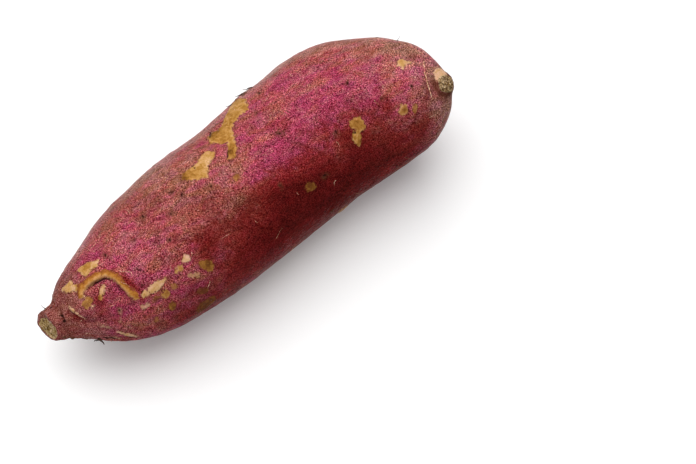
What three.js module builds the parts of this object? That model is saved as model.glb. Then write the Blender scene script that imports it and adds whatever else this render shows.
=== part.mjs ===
// A whole sweet potato, as dug and washed, lying on its belly.
// Millimetres, +Z up. The root runs along X, from the tail, where it was snapped off its thin
// string root, at -X, to the crown, where it was broken from the vine, at +X. The origin is on
// the surface that it rests on, under the middle of its box.
//
// The root grew as one piece, so it is one closed solid. It starts as a lathe turned about its
// core, and then each ring is carried to its place along the core line, given its uneven girth,
// and pressed flat where the belly meets the surface.

import * as THREE from "three";

const BELLY_FLAT = 1.0; // how far the belly is pressed in where it rests
const ROUNDNESS = 0.96; // the root is a little lower than it is wide
const RINGS_PER_STATION = 4;
const SIDES = 36;

// Stations along the root, from the tail to the crown: how far along, the drift of the core
// sideways and upwards, the radius there, and how far that ring is tilted, in degrees.
const STATIONS = [
  { along: 0.0, side: -2.4, up: -1.0, radius: 5.6, tilt: -9 }, // rim of the broken tail
  { along: 1.5, side: -2.5, up: -1.0, radius: 6.6, tilt: -8 },
  { along: 3.8, side: -2.7, up: -1.0, radius: 7.0, tilt: -6 }, // collar behind the break
  { along: 6.6, side: -3.0, up: -1.0, radius: 7.5, tilt: -4 }, // crease behind the collar
  { along: 12.0, side: -2.6, up: -1.0, radius: 11.9, tilt: -2 },
  { along: 19.0, side: -2.2, up: -1.0, radius: 16.5, tilt: -1 },
  { along: 26.5, side: -2.8, up: -1.0, radius: 20.5, tilt: 0 },
  { along: 41.0, side: -1.4, up: -1.0, radius: 26.0, tilt: 0 },
  { along: 56.0, side: 0.0, up: -1.0, radius: 28.9, tilt: 0 },
  { along: 72.0, side: 2.0, up: -0.9, radius: 30.5, tilt: 0 },
  { along: 94.0, side: 4.6, up: -0.6, radius: 30.6, tilt: 0 },
  { along: 118.0, side: 9.0, up: 0.0, radius: 31.3, tilt: 0 },
  { along: 140.0, side: 12.0, up: 0.6, radius: 31.8, tilt: 0 },
  { along: 155.0, side: 11.4, up: 1.4, radius: 31.0, tilt: 2 },
  { along: 168.2, side: 7.4, up: 4.1, radius: 27.5, tilt: 14 },
  { along: 177.6, side: 2.8, up: 8.4, radius: 23.0, tilt: 27 },
  { along: 183.4, side: -3.2, up: 14.4, radius: 15.0, tilt: 40 },
  { along: 186.6, side: -6.8, up: 17.0, radius: 5.8, tilt: 48 }, // foot of the crown knob
  { along: 188.5, side: -8.2, up: 18.4, radius: 3.4, tilt: 48 }, // top of the crown knob
];

// Rings tilt towards this side of the root, measured from +Y towards +Z.
const TILT_SIDE = THREE.MathUtils.degToRad(128);
const TILT_AXIS = new THREE.Vector3(0, -Math.sin(TILT_SIDE), Math.cos(TILT_SIDE));

// The girth is never a true circle: shallow lobes run along the root and turn slowly round it.
const LOBES = [
  { count: 2, depth: 0.012, phase: 0.6, turns: 0.2 },
  { count: 3, depth: 0.014, phase: 2.1, turns: -0.35 },
  { count: 5, depth: 0.006, phase: 0.4, turns: 0.6 },
];

const lineThrough = (make) => new THREE.CatmullRomCurve3(STATIONS.map(make));
const coreLine = lineThrough((s) => new THREE.Vector3(s.along, s.side, s.up));
const girthLine = lineThrough((s) => new THREE.Vector3(s.along, s.radius, s.tilt));

// Both closing faces are flat discs, so the turned profile starts and ends on the core.
function turnedProfile() {
  const steps = (STATIONS.length - 1) * RINGS_PER_STATION;
  const profile = girthLine.getPoints(steps).map((p) => new THREE.Vector2(p.y, p.x));
  const tail = profile[0].y;
  const crown = profile[steps].y;
  return [new THREE.Vector2(0, tail), ...profile, new THREE.Vector2(0, crown)];
}

function lobed(angle, share) {
  const fade = Math.sin(Math.PI * share); // both ends stay round
  return LOBES.reduce(
    (sum, lobe) =>
      sum + lobe.depth * fade * Math.sin(lobe.count * angle + lobe.phase + 2 * Math.PI * lobe.turns * share),
    1,
  );
}

// Carries a point of the turned shape to its place on the grown root.
function grow(across, over, share) {
  const swell = lobed(Math.atan2(over, across), share);
  const tilt = THREE.MathUtils.degToRad(girthLine.getPoint(share).z);
  return new THREE.Vector3(0, across * swell, over * swell * ROUNDNESS)
    .applyAxisAngle(TILT_AXIS, tilt)
    .add(coreLine.getPoint(share));
}

function rootGeometry() {
  const profile = turnedProfile();
  const lathe = new THREE.LatheGeometry(profile, SIDES);
  const skin = lathe.getAttribute("position");
  const lastRing = profile.length - 3;
  for (let n = 0; n < skin.count; n++) {
    const ring = (n % profile.length) - 1;
    const share = THREE.MathUtils.clamp(ring / lastRing, 0, 1);
    const point = grow(skin.getX(n), -skin.getZ(n), share);
    skin.setXYZ(n, point.x, point.y, point.z);
  }
  lathe.computeBoundingBox();
  const middle = lathe.boundingBox.getCenter(new THREE.Vector3());
  lathe.translate(-middle.x, -middle.y, -lathe.boundingBox.min.z - BELLY_FLAT);
  pressBellyFlat(skin);
  return lathe;
}

// What would reach below the surface lies on it instead.
function pressBellyFlat(skin) {
  for (let n = 0; n < skin.count; n++) {
    skin.setZ(n, Math.max(skin.getZ(n), 0));
  }
}

const skinMaterial = new THREE.MeshStandardMaterial({ color: 0x8c3452, roughness: 0.62, metalness: 0 });

const sweetPotato = new THREE.Mesh(rootGeometry(), skinMaterial);
sweetPotato.name = "sweet_potato";

const root = new THREE.Group();
root.add(sweetPotato);

export default root;
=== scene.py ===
# %% [markdown]
# # A sweet potato, lying on its belly
#
# A sweet potato is a swollen root. At one end, the tail, it was snapped off the thin string root
# that went on down into the soil. At the other, the crown, it was broken from the vine. Its skin
# is thinner than paper, so all that happened to it underground still shows: rubbed patches, a
# healed welt, the eyes that its side roots grew from, and the hairs that dried on it.
#
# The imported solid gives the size, the bend and the place where it rests. This lesson lays a fine
# net over that solid, works the relief into the net, and then gives the skin its colours.

import math

import bmesh
import bpy
import numpy as np
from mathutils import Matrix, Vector, noise
from mathutils.bvhtree import BVHTree


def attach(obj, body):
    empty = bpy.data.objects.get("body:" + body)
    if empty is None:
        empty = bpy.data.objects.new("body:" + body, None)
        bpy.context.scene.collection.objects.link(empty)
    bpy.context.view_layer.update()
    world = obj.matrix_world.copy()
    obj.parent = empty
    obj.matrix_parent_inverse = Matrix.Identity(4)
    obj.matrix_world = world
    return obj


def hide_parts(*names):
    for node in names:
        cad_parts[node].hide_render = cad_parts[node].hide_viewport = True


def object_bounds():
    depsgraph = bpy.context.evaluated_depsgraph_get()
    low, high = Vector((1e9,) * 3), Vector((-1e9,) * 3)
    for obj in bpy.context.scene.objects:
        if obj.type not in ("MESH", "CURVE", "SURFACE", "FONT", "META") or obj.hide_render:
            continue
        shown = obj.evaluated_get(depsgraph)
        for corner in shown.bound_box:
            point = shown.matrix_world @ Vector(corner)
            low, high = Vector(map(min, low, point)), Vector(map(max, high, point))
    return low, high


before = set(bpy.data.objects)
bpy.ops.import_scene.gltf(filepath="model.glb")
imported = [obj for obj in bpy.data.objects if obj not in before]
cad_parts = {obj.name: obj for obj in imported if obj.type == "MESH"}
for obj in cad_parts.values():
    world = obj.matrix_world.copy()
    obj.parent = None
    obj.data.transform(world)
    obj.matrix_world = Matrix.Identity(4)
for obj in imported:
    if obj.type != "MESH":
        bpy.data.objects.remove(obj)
MM = 0.001
CAD_LOW, CAD_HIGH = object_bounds()
LENGTH = (CAD_HIGH.x - CAD_LOW.x) / MM
print(f"the root is {LENGTH:.1f} mm long")

# %% [markdown]
# ## Camera
#
# The root lies flat, and the camera looks down on it from the front left, so that the root runs
# up and across the picture from its tail to its crown. A long lens keeps both ends the same scale.

# %% Make the camera
CAMERA_TURN = math.radians(-34.4)  # round the root, from looking along +Y
CAMERA_HEIGHT = math.radians(60)  # above the surface
CAMERA_DISTANCE = 0.780
ROOT_LEFT_OF_CENTRE = 0.0439  # the root's middle, in the picture
ROOT_ABOVE_CENTRE = 0.0182


def make_camera():
    to_camera = Vector((
        math.sin(CAMERA_TURN) * math.cos(CAMERA_HEIGHT),
        -math.cos(CAMERA_TURN) * math.cos(CAMERA_HEIGHT),
        math.sin(CAMERA_HEIGHT),
    ))
    right = Vector((0, 0, 1)).cross(to_camera).normalized()
    up = to_camera.cross(right)
    camera = bpy.data.objects.new("camera", bpy.data.cameras.new("camera"))
    camera.data.lens = 100
    camera.data.sensor_width = 36
    camera.location = (
        (CAD_LOW + CAD_HIGH) / 2 + to_camera * CAMERA_DISTANCE
        + right * ROOT_LEFT_OF_CENTRE - up * ROOT_ABOVE_CENTRE
    )
    camera.rotation_mode = "QUATERNION"
    camera.rotation_quaternion = (-to_camera).to_track_quat("-Z", "Y")
    bpy.context.scene.collection.objects.link(camera)
    bpy.context.scene.camera = camera
    return camera


print("camera at", [round(v, 3) for v in make_camera().location])

# %% [markdown]
# ## Node helpers
#
# Every material here is a small tree of nodes. These helpers keep each node to a line or two: a
# value goes straight into a socket, and another node's output is linked to it.


# %% Helpers for node trees
def add(tree, kind, inputs=None, **settings):
    """Adds one node. inputs maps a socket's name or number to a value, or to an output to link."""
    made = tree.nodes.new("ShaderNode" + kind)
    for name, value in settings.items():
        setattr(made, name, value)
    for socket, value in (inputs or {}).items():
        if isinstance(value, bpy.types.NodeSocket):
            tree.links.new(value, made.inputs[socket])
        else:
            made.inputs[socket].default_value = value
    return made


def maths(tree, operation, first, second=0.0):
    return add(tree, "Math", {0: first, 1: second}, operation=operation).outputs[0]


def ease(tree, value, low, high, start=0.0, end=1.0):
    """Takes a value from start to end, with a soft shoulder at each end, as it goes from low to high."""
    inputs = {"Value": value, "From Min": low, "From Max": high, "To Min": start, "To Max": end}
    return add(tree, "MapRange", inputs, interpolation_type="SMOOTHSTEP").outputs["Result"]


def blend(tree, factor, below, above, way="MIX"):
    """Lays one colour over another by a factor."""
    made = add(tree, "Mix", {0: factor, 6: below, 7: above}, data_type="RGBA", blend_type=way)
    return made.outputs[2]


def grain(tree, place, size_mm, detail=3.0, roughness=0.55, distortion=0.0):
    """Even noise with features of about this size."""
    inputs = {
        "Vector": place, "Scale": 1 / (size_mm * MM), "Detail": detail,
        "Roughness": roughness, "Distortion": distortion,
    }
    return add(tree, "TexNoise", inputs).outputs["Fac"]


def field(tree, name):
    """Reads a value that the mesh carries at each of its points."""
    return add(tree, "Attribute", attribute_name=name).outputs["Fac"]


def colour(red, green, blue):
    """A colour as it is seen, from 0 to 255, turned into the linear light that shaders add up."""
    seen = [v / 255 for v in (red, green, blue)]
    linear = [v / 12.92 if v <= 0.04045 else ((v + 0.055) / 1.055) ** 2.4 for v in seen]
    return (*linear, 1.0)


def ramp(tree, value, stops):
    """A colour ramp from a list of (place, colour)."""
    made = add(tree, "ValToRGB", {0: value})
    band = made.color_ramp
    while len(band.elements) < len(stops):
        band.elements.new(0.5)
    for element, (place, tint) in zip(band.elements, stops):
        element.position = place
        element.color = tint
    return made.outputs["Color"]


def new_material(name):
    """A material with one Principled shader, and its tree."""
    made = bpy.data.materials.new(name)
    made.use_nodes = True
    return made, made.node_tree, made.node_tree.nodes["Principled BSDF"]


print("helpers ready")

# %% [markdown]
# ## Light, world and floor
#
# A vegetable on a white table under one big soft lamp, hung a little behind it, and a dim room
# all round. The room and the floor look white to the camera, but the world lights the root only
# dimly, so that its lower side falls into shade.

# %% Light the scene
scene = bpy.context.scene
scene.view_settings.view_transform = "Standard"

KEY_PLACE = Vector((0.0, 0.32, 1.10))
KEY_SIZE = 1.8
KEY_POWER = 20.8
FILL_PLACE = Vector((-0.55, -0.85, 0.45))
FILL_SIZE = 0.6
FILL_POWER = 2.4
ROOM_LIGHT = 0.20
FLOOR_SEEN = 1.0  # the floor's whiteness to the camera, and to the light that bounces off it
FLOOR_BOUNCE = 0.35
FLOOR_LIFT = 0.10


def lamp(name, place, size, power):
    light = bpy.data.lights.new(name, "AREA")
    light.shape = "SQUARE"
    light.size = size
    light.energy = power
    made = bpy.data.objects.new(name, light)
    made.location = place
    made.rotation_mode = "QUATERNION"
    made.rotation_quaternion = (Vector((0, 0, 0.03)) - place).to_track_quat("-Z", "Y")
    scene.collection.objects.link(made)
    return made


lamp("key_lamp", KEY_PLACE, KEY_SIZE, KEY_POWER)
lamp("fill_lamp", FILL_PLACE, FILL_SIZE, FILL_POWER)


def make_world():
    world = bpy.data.worlds.new("room")
    scene.world = world
    world.use_nodes = True
    tree = world.node_tree
    seen = add(tree, "LightPath").outputs["Is Camera Ray"]
    room = ease(tree, seen, 0.0, 1.0, ROOM_LIGHT, 1.0)
    tree.links.new(room, tree.nodes["Background"].inputs["Strength"])
    tree.nodes["Background"].inputs["Color"].default_value = (1, 1, 1, 1)
    return world


def make_floor():
    shape = bmesh.new()
    bmesh.ops.create_grid(shape, x_segments=1, y_segments=1, size=3.0)
    mesh = bpy.data.meshes.new("floor")
    shape.to_mesh(mesh)
    shape.free()
    floor = bpy.data.objects.new("floor", mesh)
    scene.collection.objects.link(floor)
    paper, tree, shader = new_material("white_paper")
    shader.inputs["Roughness"].default_value = 0.9
    shader.inputs["Specular IOR Level"].default_value = 0.0
    shader.inputs["Emission Color"].default_value = (1, 1, 1, 1)
    seen = add(tree, "LightPath").outputs["Is Camera Ray"]
    white = ease(tree, seen, 0.0, 1.0, FLOOR_BOUNCE, FLOOR_SEEN)
    tree.links.new(white, shader.inputs["Base Color"])
    lift = ease(tree, seen, 0.0, 1.0, 0.0, FLOOR_LIFT)
    tree.links.new(lift, shader.inputs["Emission Strength"])
    mesh.materials.append(paper)
    return floor


make_world()
make_floor()

# %% [markdown]
# ## The smooth form
#
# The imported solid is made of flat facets. A copy of it is merged, its triangles are joined in
# pairs, and a subdivision rounds it off. This copy is only a form to cast rays at: it is thrown
# away once the net lies on it.


# %% Round off a copy of the solid
def smooth_form():
    """Returns the rounded form as a tree to cast rays at, and its points in millimetres."""
    form = bmesh.new()
    form.from_mesh(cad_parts["sweet_potato"].data)
    bmesh.ops.remove_doubles(form, verts=form.verts, dist=0.001 * MM)
    bmesh.ops.join_triangles(
        form, faces=form.faces, angle_face_threshold=math.radians(60), angle_shape_threshold=math.radians(80)
    )
    mesh = bpy.data.meshes.new("form")
    form.to_mesh(mesh)
    form.free()
    made = bpy.data.objects.new("form", mesh)
    scene.collection.objects.link(made)
    rounding = made.modifiers.new("rounding", "SUBSURF")
    rounding.levels = rounding.render_levels = 2
    graph = bpy.context.evaluated_depsgraph_get()
    tree = BVHTree.FromObject(made, graph)
    rounded = made.evaluated_get(graph).to_mesh()
    points = np.empty(len(rounded.vertices) * 3)
    rounded.vertices.foreach_get("co", points)
    bpy.data.objects.remove(made)
    return tree, points.reshape(-1, 3) / MM


FORM, FORM_POINTS = smooth_form()
print("the form has", len(FORM_POINTS), "points")

# %% [markdown]
# ## Where things are on a root
#
# A root has no straight edges to measure from. Places on it are given the way a hand would: how
# far along from the tail, in millimetres, and how far round its core, in degrees. 0 is the top,
# 90 is the front side, towards -Y, and 180 is the belly. The core line runs through the middle of
# every slice.


# %% Find the core and places on the surface
def core_line():
    """The middle of a slice at each millimetre along the root, as (y, z)."""
    along = FORM_POINTS[:, 0] - CAD_LOW.x / MM
    middles = []
    for place in np.arange(0, LENGTH + 1):
        near = FORM_POINTS[np.abs(along - np.clip(place, 1.5, LENGTH - 1.5)) < 1.5, 1:]
        middles.append((near.min(0) + near.max(0)) / 2)
    middles = np.array(middles)
    kernel = np.ones(5) / 5
    padded = np.pad(middles, ((2, 2), (0, 0)), mode="edge")
    return np.stack([np.convolve(padded[:, n], kernel, "valid") for n in (0, 1)], axis=1)


CORE = core_line()


def core_at(along):
    """The core's point, or points, this far along the root, in millimetres."""
    steps = np.arange(len(CORE))
    y, z = (np.interp(along, steps, CORE[:, n]) for n in (0, 1))
    return np.stack([along + CAD_LOW.x / MM, y, z], axis=-1)


def on_surface(tree, along, around):
    """The place on a surface at this distance along and this angle round, and the way it faces."""
    turn = math.radians(around)
    out = Vector((0, -math.sin(turn), math.cos(turn)))
    place, facing, _, _ = tree.ray_cast(Vector(core_at(along)) * MM, out)
    if facing.dot(out) < 0:
        facing.negate()
    return np.array(place) / MM, facing


middle_place, _ = on_surface(FORM, LENGTH / 2, 0)
print("the top of the root's middle is at", np.round(middle_place, 1), "mm")

# %% [markdown]
# ## The net
#
# A sphere has the right weave for a root: rows that run round it, and close in on a pole at each
# end. Each row is cast outwards from the core until it meets the form. The rows lie close on the
# tail's broken face and on its collar, where the detail is finest, and further apart on the body.
# At the crown they turn to face the knob, which sits off the end, where the vine was.

# %% Lay the net over the form
SEGMENTS = 300
FACE_ROWS, COLLAR_ROWS, NECK_ROWS, BODY_ROWS, CROWN_ROWS = 26, 16, 32, 194, 63
ROWS = FACE_ROWS + COLLAR_ROWS + NECK_ROWS + BODY_ROWS + CROWN_ROWS
TAIL_SOURCE = 5.0  # the tail's rays fan out from here, behind its face
TAIL_FACE_RADIUS = 5.4
COLLAR_RADIUS = 6.9
NECK_END = 20.0
CROWN_SOURCE = LENGTH - 26.0
KNOB_TOP = Vector((91.7, -15.7, 47.6))  # the middle of the crown knob, as the solid has it


def rows_of_rays():
    """Where each row's rays start, in mm along the core, and their heading: -90 back, 90 forward."""
    over_face = np.linspace(0, TAIL_FACE_RADIUS, FACE_ROWS)
    over_collar = np.linspace(0.25, TAIL_SOURCE - 0.2, COLLAR_ROWS)
    over_neck = TAIL_SOURCE + (NECK_END - TAIL_SOURCE) * np.linspace(0, 1, NECK_ROWS, endpoint=False) ** 1.4
    over_body = np.linspace(NECK_END, CROWN_SOURCE, BODY_ROWS, endpoint=False)
    over_crown = np.linspace(0, 90, CROWN_ROWS)
    headings = [
        -np.degrees(np.arctan2(TAIL_SOURCE, over_face)),
        -np.degrees(np.arctan2(TAIL_SOURCE - over_collar, COLLAR_RADIUS)),
        np.zeros(NECK_ROWS + BODY_ROWS),
        over_crown,
    ]
    sources = [
        np.full(FACE_ROWS + COLLAR_ROWS, TAIL_SOURCE), over_neck, over_body, np.full(CROWN_ROWS, CROWN_SOURCE)
    ]
    return np.concatenate(sources), np.concatenate(headings)


def cast_row(source, heading, turns):
    """The places where one row's rays meet the form."""
    start = Vector(core_at(source))
    turned = max(heading, 0) / 90
    axis = Vector((1, 0, 0)).lerp((KNOB_TOP - start).normalized(), turned).normalized()
    upward = (Vector((0, 0, 1)) - axis * axis.z).normalized()
    frontward = axis.cross(upward)
    lean = math.radians(heading)
    for turn in turns:
        out = upward * math.cos(turn) + frontward * math.sin(turn)
        yield FORM.ray_cast(start * MM, axis * math.sin(lean) + out * math.cos(lean))[0]


def lay_net():
    net = bmesh.new()
    bmesh.ops.create_uvsphere(net, u_segments=SEGMENTS, v_segments=ROWS - 1, radius=1)
    rows = [[] for _ in range(ROWS)]
    for knot in net.verts:
        rows[round((1 + math.asin(max(-1, min(1, knot.co.z))) / (math.pi / 2)) / 2 * (ROWS - 1))].append(knot)
    for row, source, heading in zip(rows, *rows_of_rays()):
        turns = [math.atan2(knot.co.y, knot.co.x) for knot in row]
        for knot, place in zip(row, cast_row(source, heading, turns)):
            knot.co = place
    bmesh.ops.recalc_face_normals(net, faces=net.faces)
    mesh = bpy.data.meshes.new("root_skin")
    net.to_mesh(mesh)
    net.free()
    return mesh


skin_mesh = lay_net()
print("the net has", len(skin_mesh.vertices), "knots and", len(skin_mesh.polygons), "faces")

# %% Read the net
POINTS = np.empty(len(skin_mesh.vertices) * 3)
skin_mesh.vertices.foreach_get("co", POINTS)
POINTS = POINTS.reshape(-1, 3) / MM
FACING = np.empty(len(skin_mesh.vertices) * 3)
skin_mesh.vertices.foreach_get("normal", FACING)
FACING = FACING.reshape(-1, 3)
ALONG = POINTS[:, 0] - CAD_LOW.x / MM
middles = core_at(ALONG)
ROUND = np.degrees(np.arctan2(middles[:, 1] - POINTS[:, 1], POINTS[:, 2] - middles[:, 2]))
print("faces outwards:", bool((FACING * (POINTS - middles)).sum(1).mean() > 0))


# %% Noise and easing for the net
def rough(size, octaves=3, shift=0.0, stretch=1.0):
    """Noise from about -1 to 1 at every knot, with features of this size in mm, drawn out along the root."""
    spots = POINTS / size
    spots[:, 0] /= stretch
    return np.array([noise.fractal(Vector(spot), 1.0, 2.0, octaves) for spot in spots + shift])


def eased(value, low, high):
    """0 below low, 1 above high, and a soft step between."""
    share = np.clip((value - low) / (high - low), 0, 1)
    return share * share * (3 - 2 * share)


def bell(value, width):
    return np.exp(-((value / width) ** 2))


def stroke_distance(stroke):
    """How far each knot lies outside a brush stroke of (along, round, half width); inside is negative."""
    marks = [(on_surface(FORM, along, around)[0], half) for along, around, half in stroke]
    if len(marks) == 1:
        marks = marks * 2
    nearest = np.full(len(POINTS), np.inf)
    for (start, half_start), (end, half_end) in zip(marks, marks[1:]):
        line = end - start
        share = np.clip((POINTS - start) @ line / max(line @ line, 1e-9), 0, 1)
        away = np.linalg.norm(POINTS - start - share[:, None] * line, axis=1)
        nearest = np.minimum(nearest, away - half_start - share * (half_end - half_start))
    return nearest


print("noise ready")

# %% [markdown]
# ## Lumps and skin texture
#
# Before any single mark, the whole root is uneven. Wide swells come first, then lumps the size of
# a fingertip, then the fine crinkle of the skin. Towards the tail, where the flesh narrowed to a
# string, the skin gathered into wrinkles that run lengthwise.

# %% Work the whole surface
# how high in mm, then (mm along, degrees round), and how wide in mm
SWELLS = [
    (0.2, (160, -43), 12), (0.6, (174, -35), 8), (1.2, (184, -22), 6), (0.7, (187, -3), 6),
    (0.8, (187.5, 14), 5), (0.7, (186.5, 78), 5), (0.1, (85, -54), 10), (0.2, (66, -61), 9),
    (0.3, (108, -58), 9), (0.7, (118, -58), 6), (-0.4, (97, -50), 5), (0.1, (37, -66), 7),
    (-0.6, (126, -61), 9), (-0.4, (23, -58), 5), (0.6, (12, -69), 5), (-1.1, (3.4, -50), 3.5),
    (1.0, (0.4, -135), 4), (0.4, (2, 108), 5), (0.8, (8, 104), 4), (1.0, (20, 100), 8),
    (1.3, (33, 100), 10), (1.0, (46, 100), 10), (0.6, (176, 88), 8), (-0.5, (115, 10), 4),
    (-0.4, (136, 38), 5), (-0.5, (123, 58), 4), (0.4, (84, -30), 7), (-0.5, (68, -6), 5),
    (0.4, (60, 18), 8),
]


def brush(marks):
    """Adds up wide soft marks of strength, place and reach."""
    total = np.zeros(len(POINTS))
    for strength, (along, around), reach in marks:
        total += strength * bell(np.linalg.norm(POINTS - on_surface(FORM, along, around)[0], axis=1), reach)
    return total


swells = brush(SWELLS) + 0.25 * rough(34, 2, 3.1)
lumps = 0.22 * rough(10, 3, 7.7, 1.4)
crinkle = 0.10 * rough(3.4, 3, 1.3) + 0.05 * rough(1.5, 2, 9.1)
neck_share = eased(ALONG, 30, 8) * eased(ALONG, 1.0, 4.0)
wrinkles = neck_share * 0.26 * rough(1.9, 3, 5.5, 6.0)
flow_lines = 0.035 * rough(2.4, 2, 8.2, 9.0)
height = swells + lumps + crinkle + wrinkles + flow_lines
print(f"the surface runs from {height.min():.2f} to {height.max():.2f} mm")

# %% [markdown]
# ## Scars and chips of cork
#
# Where the skin was scraped off, the root healed over with thin plates of cork. Fresh cork is
# cream, older cork is ochre, and the oldest is olive brown. A plate that flaked has corners, so it
# is an outline laid on the surface: its corners are named as places, flattened onto the plane that
# touches the root there, and every knot gets its distance from that outline. A round or narrow
# plate is a brush stroke, with a half width at each of its points.


# %% Distance from an outline
OUTLINE_REACH = 6.0  # mm beyond an outline's corners that its distances are worked out for


def outline_distance(corners):
    """How far each knot lies outside an outline of (along, round) corners; inside is negative."""
    spots = [on_surface(FORM, *corner) for corner in corners]
    ring = np.array([place for place, _ in spots])
    middle = ring.mean(0)
    facing = sum((way for _, way in spots), Vector()).normalized()
    across = facing.orthogonal().normalized()
    axes = np.array([across, facing.cross(across)])
    away = np.full(len(POINTS), 9.0)
    reach = np.linalg.norm(ring - middle, axis=1).max() + OUTLINE_REACH
    near = np.linalg.norm(POINTS - middle, axis=1) < reach
    flat, corners_flat = (POINTS[near] - middle) @ axes.T, (ring - middle) @ axes.T
    nearest, inside = np.full(len(flat), np.inf), np.zeros(len(flat), bool)
    for start, end in zip(corners_flat, np.roll(corners_flat, -1, axis=0)):
        line = end - start
        share = np.clip((flat - start) @ line / (line @ line), 0, 1)
        nearest = np.minimum(nearest, np.linalg.norm(flat - start - share[:, None] * line, axis=1))
        if start[1] != end[1]:
            crossing = start[0] + (flat[:, 1] - start[1]) / (end[1] - start[1]) * line[0]
            inside ^= ((start[1] > flat[:, 1]) != (end[1] > flat[:, 1])) & (flat[:, 0] < crossing)
    away[near] = np.where(inside, -nearest, nearest)
    return away


print("outlines ready")

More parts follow.
